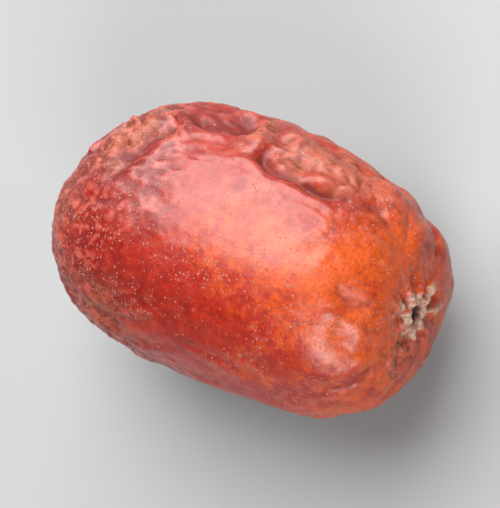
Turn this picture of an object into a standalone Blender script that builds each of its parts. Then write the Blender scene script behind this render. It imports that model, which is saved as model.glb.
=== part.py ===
"""A dried oleaster fruit: one oblong, shrivelled solid that lies on its side.

Metres, +Z up. +X runs from the blossom end to the stem scar, and the fruit rests on a
small flat spot at Z = 0. A place on the skin is given as (along, around): the distance
along X from the middle, and the angle round X from the top, +Z, towards +Y.
"""

import math
from typing import NamedTuple

import bmesh
import bpy
import numpy as np
from mathutils import Matrix, Vector, noise

MM = 0.001

# Driving dimensions of the plump oblong body, before it shrivels
LENGTH = 23.7 * MM
WIDTH = 15.3 * MM
HEIGHT = 15.2 * MM
BLUNTNESS = 2.65  # 2 is an ellipse, more is squarer at the shoulders
STEM_TAPER = 0.025  # share by which the stem half is slimmer and the blossom half fuller
FLAT_SPOT_DEPTH = 0.16 * MM  # how far the underside is pressed flat

HALF_LENGTH = LENGTH / 2
HALF_WIDTH = WIDTH / 2
HALF_HEIGHT = HEIGHT / 2

# Mesh: meridians from end to end, closer together on the folded side, and rings round the
# body, closer together at the ends
MERIDIANS = 90
RINGS = 65
FOLDED_SIDE = 62.0  # the angle round the body where the meridians are closest
SIDE_CROWDING = 0.30
STEM_CROWDING = 3.2
BLOSSOM_CROWDING = 1.1
CROWDING_SPAN = 0.10

# The fruit is bent a little sideways: both ends swing towards -Y
BEND = 0.70 * MM

# Stem scar: a shallow funnel with a pit, a collar and pale corky rays, above the very end
SCAR_ALONG = 11.81 * MM
SCAR_AROUND = 52.0
SCAR_LEAN = 7.4  # how far the meridians' meeting point is turned up to the scar
LEAN_SPAN = 100.0  # the turn fades out over this angle from the stem end
FUNNEL_RADIUS = 2.6 * MM
FUNNEL_DEPTH = 0.55 * MM
PIT_RADIUS = 0.40 * MM
PIT_DEPTH = 1.05 * MM
COLLAR_RADIUS = 0.86 * MM
COLLAR_WIDTH = 0.34 * MM
COLLAR_HEIGHT = 0.26 * MM
RAY_START = 0.62 * MM
RAY_WIDTH = 0.29 * MM
RAY_HEIGHT = 0.34 * MM

# Blossom end: a dimple with the dry stub of the style and uneven pleats
DIMPLE_RADIUS = 1.7 * MM
DIMPLE_DEPTH = 0.40 * MM
STUB_RADIUS = 0.42 * MM
STUB_HEIGHT = 0.50 * MM
PLEAT_WIDTH = 0.34 * MM
PLEAT_DEPTH = 0.20 * MM
PLEAT_START = 0.45 * MM

# Shrivelling of the whole skin
LUMP_SIZE = 6.5 * MM
LUMP_HEIGHT = 0.16 * MM
WRINKLE_SIZE = 1.9 * MM
WRINKLE_STRETCH = 2.6  # how much longer a wrinkle is along the fruit than across
WRINKLE_HEIGHT = 0.44 * MM
WRINKLE_MEAN = 0.26  # mean of the folded noise, taken off so that the body keeps its size
WRINKLE_PATCH = 6.0 * MM  # how far apart furrowed, ridged and plain stretches lie
TAUT_WRINKLES = 0.12  # share of the wrinkling that is left where the skin is taut

# Dents and creases wander over the skin by smooth noise, and their depth is uneven
WANDER_SIZE = 2.8 * MM
WANDER = 0.60 * MM
FINE_WANDER_SIZE = 1.0 * MM
FINE_WANDER = 0.10 * MM
UNEVEN_SIZE = 1.8 * MM
UNEVEN = 0.7
WANDER_SHIFTS = ((9.3, -1.5, -7.9), (-4.1, 6.2, 2.8), (3.7, -8.4, 5.9))  # for X, Y and Z


class Ray(NamedTuple):
    """A line that runs out from the middle of an end: its angle there and its length in mm."""

    around: float
    reach: float


class Dent(NamedTuple):
    """An oval hollow pressed into the skin, with a low rim, in mm and degrees.

    A negative depth is a bump.
    """

    along: float
    around: float
    reach: float
    breadth: float
    turn: float
    depth: float
    rim: float


class Crease(NamedTuple):
    """A furrow along a smooth line of (mm, degree) places. A negative depth is a ridge."""

    route: tuple
    width: float
    depth: float


RAYS = (
    Ray(2, 2.4),
    Ray(39, 2.3),
    Ray(78, 2.5),
    Ray(120, 2.5),
    Ray(160, 3.0),
    Ray(201, 2.5),
    Ray(243, 2.0),
    Ray(287, 1.7),
    Ray(325, 1.9),
)

PLEATS = (
    Ray(20, 2.6),
    Ray(74, 1.6),
    Ray(118, 3.1),
    Ray(171, 1.9),
    Ray(222, 2.8),
    Ray(268, 1.5),
    Ray(317, 2.2),
)

DENTS = (
    # The side that has caved in behind the folded shoulder
    Dent(2.6, 117, 5.6, 2.6, -4, 1.05, 0.20),
    # The furrow before the fold
    Dent(-2.6, 62, 2.6, 1.30, 4, 0.66, 0.12),
    # The flattened shoulder at the blossom end
    Dent(-10.2, 48, 3.4, 3.2, 0, 0.50, 0.0),
    Dent(-7.4, 110, 2.6, 2.0, 30, 0.26, 0.08),
    # The near side: a long shallow trough, a small crater and thumbprint hollows
    Dent(-0.4, -104, 5.2, 1.8, 6, 0.60, 0.16),
    Dent(-4.6, -56, 1.1, 0.65, -14, 0.22, 0.04),
    Dent(-7.6, -52, 0.9, 0.7, 10, 0.14, 0.03),
    Dent(7.6, -116, 2.4, 1.8, 35, 0.62, 0.16),
    # The valley between the swell on the near shoulder and the stem end
    Dent(9.8, -12, 1.0, 2.6, 12, 0.24, 0.0),
    Dent(8.9, -40, 2.4, 1.9, 0, -0.24, 0.0),
    # The full shoulder beyond the fold
    Dent(9.0, 86, 2.2, 2.4, 0, -0.22, 0.0),
    Dent(10.2, 122, 2.0, 2.2, 0, -0.46, 0.0),
    # The flank below the caved side
    Dent(-4.5, 142, 3.4, 1.6, -14, 0.62, 0.16),
    Dent(6.8, 150, 2.4, 1.3, 20, 0.40, 0.12),
    # Small pits of the fold
    Dent(1.8, 57, 0.55, 0.50, 20, 0.30, 0.05),
    Dent(3.6, 47, 0.80, 0.42, -6, 0.22, 0.04),
    Dent(5.0, 63, 0.60, 0.42, 15, 0.20, 0.04),
    Dent(6.2, 70, 0.60, 0.45, -20, 0.20, 0.04),
    Dent(3.3, 76, 0.70, 0.50, 20, 0.18, 0.04),
    # Lumps of the fold
    Dent(2.7, 57, 0.50, 0.48, 0, -0.22, 0.0),
    Dent(4.2, 56, 0.62, 0.44, -15, -0.22, 0.0),
    Dent(4.6, 74, 1.10, 0.50, 8, -0.24, 0.0),
    Dent(7.7, 72, 0.90, 0.62, 12, -0.24, 0.0),
    Dent(5.3, 48, 0.62, 0.44, 5, -0.20, 0.0),
    Dent(6.9, 52, 0.70, 0.44, 12, -0.20, 0.0),
    # Two faint dimples in the taut top
    Dent(-2.6, 4, 0.60, 0.50, 0, 0.08, 0.0),
    Dent(6.8, 14, 0.55, 0.50, 0, 0.08, 0.0),
)

CREASES = (
    # The folded shoulder: a furrow, the fold beside it, and the pleat that crosses them
    Crease(
        ((0.6, 50), (1.4, 43), (2.6, 39), (4.0, 41), (5.8, 42), (7.5, 49), (8.8, 59)), 0.36, 0.38
    ),
    Crease(((0.8, 62), (2.9, 60), (5.8, 60), (8.0, 67), (9.4, 78)), 0.90, -0.32),
    Crease(((-0.6, 76), (0.0, 62), (0.9, 42)), 0.54, -0.44),
    # The lower edge of the furrow before the fold, and the curl at its end
    Crease(((-5.0, 58), (-3.4, 55), (-1.8, 55), (-0.8, 60), (-1.0, 72)), 0.36, 0.34),
    # Rumpled ridges on the blossom shoulder and the hollow beside them
    Crease(((-4.8, 62), (-5.9, 52), (-6.7, 40), (-7.0, 28), (-7.4, 14)), 0.46, -0.36),
    Crease(((-6.2, 66), (-7.5, 53), (-8.2, 40), (-8.6, 24)), 0.46, -0.34),
    Crease(((-7.8, 68), (-9.0, 54), (-9.6, 38), (-9.9, 24)), 0.46, -0.26),
    Crease(((-5.7, 43), (-7.2, 47), (-8.8, 47)), 0.42, -0.22),
    Crease(((-6.2, 27), (-7.8, 32), (-9.2, 30)), 0.42, -0.20),
    Crease(((-4.4, 50), (-5.2, 35), (-5.7, 21), (-6.5, 10)), 0.42, 0.26),
    # Folds along the floor of the caved side and of the near trough
    Crease(((-1.4, 104), (1.8, 109), (5.2, 106), (8.4, 112)), 0.46, 0.32),
    Crease(((0.2, 124), (3.6, 121), (7.0, 127)), 0.50, 0.30),
    Crease(((-5.0, -100), (-1.5, -106), (2.4, -101), (5.0, -95)), 0.46, 0.32),
    Crease(((-3.4, -115), (0.4, -119), (3.6, -113)), 0.46, 0.26),
    # Long folds and ridges on the flanks
    Crease(((-8.4, 86), (-5.4, 93), (-2.0, 90)), 0.46, 0.24),
    Crease(((-8.2, 122), (-5.0, 128), (-0.6, 136), (3.8, 140), (8.0, 133)), 0.52, 0.32),
    Crease(((-7.0, -128), (-3.2, -135), (1.6, -132), (6.0, -138)), 0.50, 0.30),
    Crease(((-9.4, -66), (-7.4, -82), (-5.0, -86)), 0.42, 0.22),
    Crease(((4.6, -108), (6.4, -100), (9.0, -98)), 0.38, -0.24),
    # Folds that draw in towards the stem end
    Crease(((8.4, 2), (9.6, 0), (10.8, 0)), 0.46, 0.12),
    Crease(((8.6, -60), (10.0, -54), (11.2, -46)), 0.46, 0.18),
    Crease(((8.2, 100), (9.8, 96), (11.0, 92)), 0.42, 0.22),
    Crease(((8.4, 124), (10.1, 130), (11.2, 140)), 0.42, 0.22),
    Crease(((8.4, -150), (10.1, -156), (11.2, -164)), 0.42, 0.22),
)

# The broad top and near side that stay taut and smooth, as (along, around, reach, breadth)
TAUT_PANEL = (1.6 * MM, -16, 8.6 * MM, 6.2 * MM)

# The skin round the resting spot is kept even, over this reach and breadth
REST_REACH = 5.0 * MM
REST_BREADTH = 3.0 * MM

SKIN_COLOUR = (0.50, 0.060, 0.022, 1.0)
SKIN_ROUGHNESS = 0.38


def smoothstep(low, high, value):
    """0 below low, 1 above high, and a smooth ramp between them."""
    share = np.clip((value - low) / (high - low), 0.0, 1.0)
    return share * share * (3.0 - 2.0 * share)


def body_point(along, around):
    """Points of the plump body at these distances along X and angles in degrees round it."""
    along = np.clip(np.asarray(along, float), -HALF_LENGTH, HALF_LENGTH)
    angle = np.radians(np.asarray(around, float))
    girth = (1.0 - np.abs(along / HALF_LENGTH) ** BLUNTNESS) ** (1.0 / BLUNTNESS)
    girth = girth * (1.0 - STEM_TAPER * along / HALF_LENGTH)
    return np.stack(
        [along, HALF_WIDTH * girth * np.sin(angle), HALF_HEIGHT * girth * np.cos(angle)],
        axis=-1,
    )


def body_normal(points):
    """Outward unit normals of the plump body, from the gradient of its equation."""
    half = np.array([HALF_LENGTH, HALF_WIDTH, HALF_HEIGHT])
    share = points / half
    across = np.hypot(share[..., 1], share[..., 2])
    steep = np.maximum(across, 1e-9) ** (BLUNTNESS - 2.0)
    gradient = np.stack(
        [
            np.sign(share[..., 0]) * np.abs(share[..., 0]) ** (BLUNTNESS - 1.0),
            share[..., 1] * steep,
            share[..., 2] * steep,
        ],
        axis=-1,
    )
    gradient = gradient / half
    return gradient / np.linalg.norm(gradient, axis=-1, keepdims=True)


def crowded(shares):
    """Evenly spaced shares of the way from the stem end, drawn together near both ends."""
    even = np.linspace(0.0, 1.0, 2001)
    crowding = (
        1.0
        + STEM_CROWDING * np.exp(-even / CROWDING_SPAN)
        + BLOSSOM_CROWDING * np.exp(-(1.0 - even) / CROWDING_SPAN)
    )
    filled = np.concatenate([[0.0], np.cumsum(0.5 * (crowding[1:] + crowding[:-1]))])
    return np.interp(shares, filled / filled[-1], even)


def along_at(shares):
    """Distance along X at these shares of the profile's length from the stem end."""
    turn = np.linspace(0.0, math.pi, 4001)
    power = 2.0 / BLUNTNESS
    along = HALF_LENGTH * np.sign(np.cos(turn)) * np.abs(np.cos(turn)) ** power
    girth = HALF_WIDTH * np.sin(turn) ** power
    steps = np.hypot(np.diff(along), np.diff(girth))
    arc = np.concatenate([[0.0], np.cumsum(steps)])
    return np.interp(shares, arc / arc[-1], along)


def leaned(directions):
    """Unit directions turned so that the one along +X points at the stem scar."""
    towards = math.radians(SCAR_AROUND)
    side = np.array([0.0, math.sin(towards), math.cos(towards)])
    polar = np.degrees(np.arccos(np.clip(directions[:, 0], -1.0, 1.0)))
    turn = np.radians(SCAR_LEAN * (1.0 - smoothstep(0.0, LEAN_SPAN, polar)))
    ahead, aside = directions[:, 0], directions @ side
    turned = directions - np.outer(aside, side)
    turned[:, 0] = ahead * np.cos(turn) - aside * np.sin(turn)
    return turned + np.outer(aside * np.cos(turn) + ahead * np.sin(turn), side)


def body_places(sphere_points):
    """Points of the plump body for the points of a unit sphere with its poles on X."""
    polar = crowded(np.arccos(np.clip(sphere_points[:, 0], -1.0, 1.0)) / math.pi) * math.pi
    around = np.arctan2(sphere_points[:, 1], sphere_points[:, 2])
    around = around - SIDE_CROWDING * np.sin(around - math.radians(FOLDED_SIDE))
    across = np.sin(polar)
    directions = np.stack(
        [np.cos(polar), across * np.sin(around), across * np.cos(around)], axis=-1
    )
    directions = leaned(directions)
    shares = np.arccos(np.clip(directions[:, 0], -1.0, 1.0)) / math.pi
    around = np.degrees(np.arctan2(directions[:, 1], directions[:, 2]))
    return body_point(along_at(shares), around)


def smooth_route(route):
    """Points of the body along a Catmull-Rom curve through a crease's (mm, degrees) places."""
    places = np.array([(along * MM, around) for along, around in route], float)
    padded = np.vstack([2 * places[0] - places[1], places, 2 * places[-1] - places[-2]])
    curve = []
    for start in range(len(places) - 1):
        p0, p1, p2, p3 = padded[start : start + 4]
        for t in np.linspace(0.0, 1.0, 7)[: 7 if start == len(places) - 2 else 6]:
            curve.append(
                0.5
                * (
                    2 * p1
                    + (p2 - p0) * t
                    + (2 * p0 - 5 * p1 + 4 * p2 - p3) * t**2
                    + (3 * p1 - p0 - 3 * p2 + p3) * t**3
                )
            )
    curve = np.array(curve)
    return body_point(curve[:, 0], curve[:, 1])


def dent_height(points, normals, dent, uneven):
    """Height of the skin that one dent adds at each point."""
    centre = body_point(dent.along * MM, dent.around)
    facing = body_normal(centre)
    lengthwise = np.array([1.0, 0.0, 0.0]) - facing[0] * facing
    lengthwise = lengthwise / np.linalg.norm(lengthwise)
    crosswise = np.cross(facing, lengthwise)
    turn = math.radians(dent.turn)
    first = math.cos(turn) * lengthwise + math.sin(turn) * crosswise
    second = math.cos(turn) * crosswise - math.sin(turn) * lengthwise
    offset = (points - centre) / MM
    reach = np.hypot(offset @ first / dent.reach, offset @ second / dent.breadth)
    same_side = smoothstep(0.0, 0.4, normals @ facing)
    bowl = np.exp(-(reach**2.3))
    rim = np.exp(-(((reach - 1.5) / 0.42) ** 2)) * uneven
    return same_side * (dent.rim * rim - dent.depth * bowl) * MM


def crease_height(points, crease, uneven):
    """Height of the skin that one crease adds at each point."""
    route = smooth_route(crease.route)
    nearest = np.full(len(points), np.inf)
    progress = np.zeros(len(points))
    stretches = len(route) - 1
    for index in range(stretches):
        start, stretch = route[index], route[index + 1] - route[index]
        share = np.clip((points - start) @ stretch / (stretch @ stretch), 0.0, 1.0)
        distance = np.linalg.norm(points - start - share[:, None] * stretch, axis=1)
        closer = distance < nearest
        nearest = np.where(closer, distance, nearest)
        progress = np.where(closer, (index + share) / stretches, progress)
    fade = smoothstep(0.0, 0.18, progress) * smoothstep(0.0, 0.18, 1.0 - progress)
    aside = nearest / (crease.width * MM)
    furrow = np.exp(-(aside**2))
    lips = np.exp(-((aside - 2.1) ** 2))
    return fade * uneven * crease.depth * (0.28 * lips - furrow) * MM


def polar_at(points, along, around):
    """Distance and angle of points round the place at (along, around), seen square on."""
    centre = body_point(along, around)
    facing = body_normal(centre)
    up = np.array([0.0, 0.0, 1.0]) - facing[2] * facing
    up = up / np.linalg.norm(up)
    side = np.cross(up, facing) if along > 0 else np.cross(facing, up)
    offset = points - centre
    distance = np.hypot(offset @ up, offset @ side)
    return distance, np.arctan2(offset @ side, offset @ up)


def ray_share(distance, angle, ray, start, width):
    """1 on the line of a ray, falling to 0 beside it and beyond its two ends."""
    gap = (angle - math.radians(ray.around) + math.pi) % (2.0 * math.pi) - math.pi
    reach = ray.reach * MM
    aside = distance * np.abs(gap)
    width = width * (0.8 + 0.5 * distance / reach)
    span = smoothstep(0.6 * start, start, distance)
    span = span * (1.0 - smoothstep(0.45 * reach, 1.15 * reach, distance))
    return span * (np.exp(-((aside / width) ** 2)) - 0.4 * np.exp(-((aside / width - 2.0) ** 2)))


def stem_scar_height(points):
    """Height of the funnel, pit, collar and rays at the stem end."""
    distance, angle = polar_at(points, SCAR_ALONG, SCAR_AROUND)
    height = -FUNNEL_DEPTH * np.exp(-((distance / FUNNEL_RADIUS) ** 2))
    height -= PIT_DEPTH * (1.0 - smoothstep(0.35 * PIT_RADIUS, 1.25 * PIT_RADIUS, distance))
    height += COLLAR_HEIGHT * np.exp(-(((distance - COLLAR_RADIUS) / COLLAR_WIDTH) ** 2))
    for ray in RAYS:
        height += RAY_HEIGHT * ray_share(distance, angle, ray, RAY_START, RAY_WIDTH)
    return np.where(points[:, 0] > 0.0, height, 0.0)


def blossom_end_height(points):
    """Height of the dimple, the style's stub and the pleats at the blossom end."""
    distance, angle = polar_at(points, -HALF_LENGTH, 0.0)
    height = -DIMPLE_DEPTH * np.exp(-((distance / DIMPLE_RADIUS) ** 2))
    height += STUB_HEIGHT * np.exp(-((distance / STUB_RADIUS) ** 2))
    for pleat in PLEATS:
        height -= PLEAT_DEPTH * ray_share(distance, angle, pleat, PLEAT_START, PLEAT_WIDTH)
    return np.where(points[:, 0] < 0.0, height, 0.0)


def noise_at(points, size, stretch, shift):
    """Perlin noise at each point, with features of this size, drawn out along X."""
    scaled = points / np.array([size * stretch, size, size])
    return np.array([noise.noise(Vector(place) + Vector(shift)) for place in scaled])


def wandered(points, normals):
    """The points shifted along the skin by smooth noise."""
    broad = [noise_at(points, WANDER_SIZE, 1.0, start) for start in WANDER_SHIFTS]
    fine = [noise_at(points, FINE_WANDER_SIZE, 1.0, start) for start in WANDER_SHIFTS]
    shift = WANDER * np.stack(broad, axis=-1) + FINE_WANDER * np.stack(fine, axis=-1)
    along_normal = np.sum(shift * normals, axis=1)
    return points + shift - along_normal[:, None] * normals


def shrivel_height(points, normals):
    """Height of the broad lumps and the lengthwise wrinkles over the whole skin."""
    lumps = LUMP_HEIGHT * noise_at(points, LUMP_SIZE, 1.2, (3.1, 7.7, 1.3))
    sway = noise_at(points, 3.0 * WRINKLE_SIZE, 1.0, (9.2, 0.4, 5.5))
    swayed = points + np.outer(sway, [0.0, WRINKLE_SIZE, WRINKLE_SIZE])
    folds = np.abs(noise_at(swayed, WRINKLE_SIZE, WRINKLE_STRETCH, (1.7, 4.2, 8.8)))
    patches = noise_at(points, WRINKLE_PATCH, 1.0, (5.2, 3.9, 0.6))
    furrowed = np.clip(0.35 + 2.6 * patches, -1.0, 1.0)
    along, around, reach, breadth = TAUT_PANEL
    centre = body_point(along, around)
    offset = points - centre
    aside = offset @ np.cross(body_normal(centre), [1.0, 0.0, 0.0])
    taut = np.exp(-(np.hypot(offset[:, 0] / reach, aside / breadth) ** 4))
    taut = taut * smoothstep(0.1, 0.5, normals @ body_normal(centre))
    share = furrowed * (1.0 - (1.0 - TAUT_WRINKLES) * taut)
    return lumps + WRINKLE_HEIGHT * share * (folds - WRINKLE_MEAN)


def skin_height(points, normals):
    """Height of the shrivelled skin over the plump body at each point."""
    height = shrivel_height(points, normals)
    loose = wandered(points, normals)
    uneven = np.clip(1.0 + UNEVEN * noise_at(points, UNEVEN_SIZE, 1.0, (2.6, 8.1, 4.7)), 0.3, 1.7)
    for dent in DENTS:
        height += dent_height(loose, normals, dent, uneven)
    for crease in CREASES:
        height += crease_height(loose, crease, uneven)
    under = np.exp(-((points[:, 0] / REST_REACH) ** 4 + (points[:, 1] / REST_BREADTH) ** 4))
    under = np.where(points[:, 2] < 0.0, under, 0.0)
    height *= 1.0 - under
    return height + stem_scar_height(points) + blossom_end_height(points)


def shrivelled(points):
    """The plump body's points moved out or in to the skin, and set down on the flat spot."""
    normals = body_normal(points)
    moved = points + normals * skin_height(points, normals)[:, None]
    moved[:, 1] -= BEND * (points[:, 0] / HALF_LENGTH) ** 2
    floor = FLAT_SPOT_DEPTH - HALF_HEIGHT
    moved[:, 2] = np.maximum(moved[:, 2], floor)
    low, high = moved.min(axis=0), moved.max(axis=0)
    return moved - [(low[0] + high[0]) / 2, (low[1] + high[1]) / 2, floor]


def clear_scene():
    """Removes the objects of the startup scene."""
    for old in list(bpy.data.objects):
        bpy.data.objects.remove(old, do_unlink=True)


def skin_material():
    """The dark orange-red skin."""
    material = bpy.data.materials.new("dried_skin")
    material.use_nodes = True
    shader = material.node_tree.nodes["Principled BSDF"]
    shader.inputs["Base Color"].default_value = SKIN_COLOUR
    shader.inputs["Roughness"].default_value = SKIN_ROUGHNESS
    shader.inputs["Metallic"].default_value = 0.0
    return material


def make_fruit():
    """The fruit: a sphere of meridians and rings, drawn out and shrivelled."""
    sphere = bmesh.new()
    poles_along_x = Matrix.Rotation(math.pi / 2, 4, "Y")
    bmesh.ops.create_uvsphere(
        sphere, u_segments=MERIDIANS, v_segments=RINGS, radius=1.0, matrix=poles_along_x
    )
    sphere_points = np.array([vert.co for vert in sphere.verts])
    points = shrivelled(body_places(sphere_points))
    for vert, point in zip(sphere.verts, points):
        vert.co = point
    bmesh.ops.recalc_face_normals(sphere, faces=sphere.faces)
    bmesh.ops.triangulate(sphere, faces=sphere.faces)
    mesh = bpy.data.meshes.new("fruit")
    sphere.to_mesh(mesh)
    sphere.free()
    mesh.shade_smooth()
    mesh.materials.append(skin_material())
    fruit = bpy.data.objects.new("fruit", mesh)
    bpy.context.scene.collection.objects.link(fruit)
    return fruit


def main():
    clear_scene()
    make_fruit()


main()
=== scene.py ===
"""The looks of a dried oleaster fruit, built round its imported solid.

Metres, +Z up. +X runs from the blossom end to the stem scar, and the fruit rests on a flat
spot at Z = 0. A place on the skin is (along, around): the distance along X from the middle,
and the angle in degrees round X from the top, +Z, towards +Y.
"""

import logging
import math
from dataclasses import dataclass, field
from enum import Enum
from typing import NamedTuple, Optional, Union

import bmesh
import bpy
import numpy as np
from mathutils import Matrix, Vector, noise


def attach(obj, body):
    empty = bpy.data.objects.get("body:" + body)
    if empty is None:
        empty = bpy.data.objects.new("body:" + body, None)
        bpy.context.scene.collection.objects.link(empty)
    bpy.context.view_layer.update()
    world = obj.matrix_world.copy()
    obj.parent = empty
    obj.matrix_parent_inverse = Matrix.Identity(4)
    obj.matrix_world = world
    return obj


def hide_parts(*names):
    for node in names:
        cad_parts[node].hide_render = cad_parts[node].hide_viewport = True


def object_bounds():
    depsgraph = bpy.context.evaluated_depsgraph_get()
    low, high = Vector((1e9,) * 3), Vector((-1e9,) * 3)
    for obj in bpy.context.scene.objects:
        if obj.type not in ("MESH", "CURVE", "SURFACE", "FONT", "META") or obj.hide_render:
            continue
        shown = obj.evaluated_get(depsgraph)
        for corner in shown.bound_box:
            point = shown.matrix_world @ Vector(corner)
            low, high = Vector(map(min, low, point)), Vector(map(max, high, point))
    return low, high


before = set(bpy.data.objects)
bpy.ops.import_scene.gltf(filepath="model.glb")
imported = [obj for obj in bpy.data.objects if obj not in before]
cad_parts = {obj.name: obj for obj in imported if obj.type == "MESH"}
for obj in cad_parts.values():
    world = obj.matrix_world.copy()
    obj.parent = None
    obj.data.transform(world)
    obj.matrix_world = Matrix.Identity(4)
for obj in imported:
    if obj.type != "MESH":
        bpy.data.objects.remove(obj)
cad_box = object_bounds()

MM = 0.001
MOST_VERTICES = 100_000

Colour = tuple[float, float, float, float]
Triple = tuple[float, float, float]
Socket = bpy.types.NodeSocket
Source = Union[Socket, float, Colour]

log = logging.getLogger("oleaster")


class Mark(Enum):
    """What the skin's finish reads at each point, named as its attribute."""

    # The hollow mark darkens the colour with painted shade, and makes the skin rougher.
    HOLLOW = "hollow"
    # The crest mark lightens the colour: a painted highlight on the crests.
    CREST_HIGHLIGHT = "crest_highlight"
    CORK = "cork"
    PIT = "pit"
    ORANGE = "orange"
    SCURF = "scurf"
    BLOOM = "bloom"
    # The pebble mark follows the pebbles' relief; the finish paints a highlight on their tops,
    # partly pale scurf, and shade in the gaps between them.
    PEBBLE = "pebble"


def smoothstep(low: float, high: float, value: np.ndarray) -> np.ndarray:
    """Ramps smoothly from 0 to 1.

    Args:
        low: the value at and below which the ramp is 0.
        high: the value at and above which the ramp is 1.
        value: where the ramp is read.

    Returns:
        The ramp at each value.
    """
    share = np.clip((value - low) / (high - low), 0.0, 1.0)
    return share * share * (3.0 - 2.0 * share)


def noise_at(points: np.ndarray, size: float, stretch: float, shift: Triple) -> np.ndarray:
    """Reads Perlin noise at points.

    Args:
        points: where it is read.
        size: how large its features are.
        stretch: how much longer they are along X.
        shift: which part of the noise is read.

    Returns:
        The noise at each point, about -1 to 1.
    """
    scaled = points / np.array([size * stretch, size, size])
    moved = Vector(shift)
    return np.array([noise.noise(Vector(place) + moved) for place in scaled.tolist()])


def noise_steps(points: np.ndarray, size: float) -> np.ndarray:
    """Reads a noise for each of X, Y and Z at points.

    Args:
        points: where they are read.
        size: how large their features are.

    Returns:
        A step at each point, each part of it about -1 to 1.
    """
    shifts = ((9.3, -1.5, -7.9), (-4.1, 6.2, 2.8), (3.7, -8.4, 5.9))
    return np.stack([noise_at(points, size, 1.0, shift) for shift in shifts], axis=-1)


def face_rank(face: bmesh.types.BMFace) -> float:
    """Ranks a face by its vertices, because the sphere's faces come in no fixed order.

    Args:
        face: a face of a mesh that has fewer than MOST_VERTICES vertices.

    Returns:
        A whole number that no other face of the mesh has.
    """
    first, second, *_, last = sorted(vertex.index for vertex in face.verts)
    return float((first * MOST_VERTICES + last) * MOST_VERTICES + second)


@dataclass(frozen=True)
class PlumpBody:
    """The oblong body before it shrivels: a blunt ellipsoid, slimmer towards the stem."""

    length: float = 23.7 * MM
    width: float = 15.3 * MM
    height: float = 15.2 * MM
    bluntness: float = 2.65
    stem_taper: float = 0.025

    def point(self, along: np.ndarray, around: np.ndarray) -> np.ndarray:
        """Finds points of the body.

        Args:
            along: distances along X from the middle.
            around: angles in degrees from the top.

        Returns:
            The points, one row each.
        """
        half = self.length / 2
        along = np.clip(np.asarray(along, float), -half, half)
        angle = np.radians(np.asarray(around, float))
        girth = (1.0 - np.abs(along / half) ** self.bluntness) ** (1.0 / self.bluntness)
        girth = girth * (1.0 - self.stem_taper * along / half)
        across = self.width / 2 * girth * np.sin(angle)
        return np.stack([along, across, self.height / 2 * girth * np.cos(angle)], axis=-1)

    def normal(self, points: np.ndarray) -> np.ndarray:
        """Finds the outward unit normals of the body.

        Args:
            points: points of the body.

        Returns:
            The normals, one row each.
        """
        half = np.array([self.length, self.width, self.height]) / 2
        share = points / half
        steep = np.maximum(np.hypot(share[..., 1], share[..., 2]), 1e-9)
        steep = steep ** (self.bluntness - 2.0)
        ends = np.sign(share[..., 0]) * np.abs(share[..., 0]) ** (self.bluntness - 1.0)
        gradient = np.stack([ends, share[..., 1] * steep, share[..., 2] * steep], axis=-1) / half
        return gradient / np.linalg.norm(gradient, axis=-1, keepdims=True)

    def along_at(self, shares: np.ndarray) -> np.ndarray:
        """Finds places along X by their share of the profile's length.

        Args:
            shares: shares of the way over the skin from the stem end.

        Returns:
            The distances along X from the middle.
        """
        turn = np.linspace(0.0, math.pi, 4001)
        power = 2.0 / self.bluntness
        along = self.length / 2 * np.sign(np.cos(turn)) * np.abs(np.cos(turn)) ** power
        girth = self.width / 2 * np.sin(turn) ** power
        steps = np.hypot(np.diff(along), np.diff(girth))
        arc = np.concatenate([[0.0], np.cumsum(steps)])
        return np.interp(shares, arc / arc[-1], along)

    def polar_at(
        self, points: np.ndarray, along: float, around: float
    ) -> tuple[np.ndarray, np.ndarray]:
        """Measures points round a place of the body, seen square on.

        Args:
            points: the points to measure.
            along: the place's distance along X.
            around: the place's angle in degrees.

        Returns:
            The points' distances from the place and their angles round it in radians.
        """
        centre = self.point(along, around)
        facing = self.normal(centre)
        up = np.array([0.0, 0.0, 1.0]) - facing[2] * facing
        up = up / np.linalg.norm(up)
        side = np.cross(up, facing) if along > 0 else np.cross(facing, up)
        offset = points - centre
        distance = np.hypot(offset @ up, offset @ side)
        return distance, np.arctan2(offset @ side, offset @ up)


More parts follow.
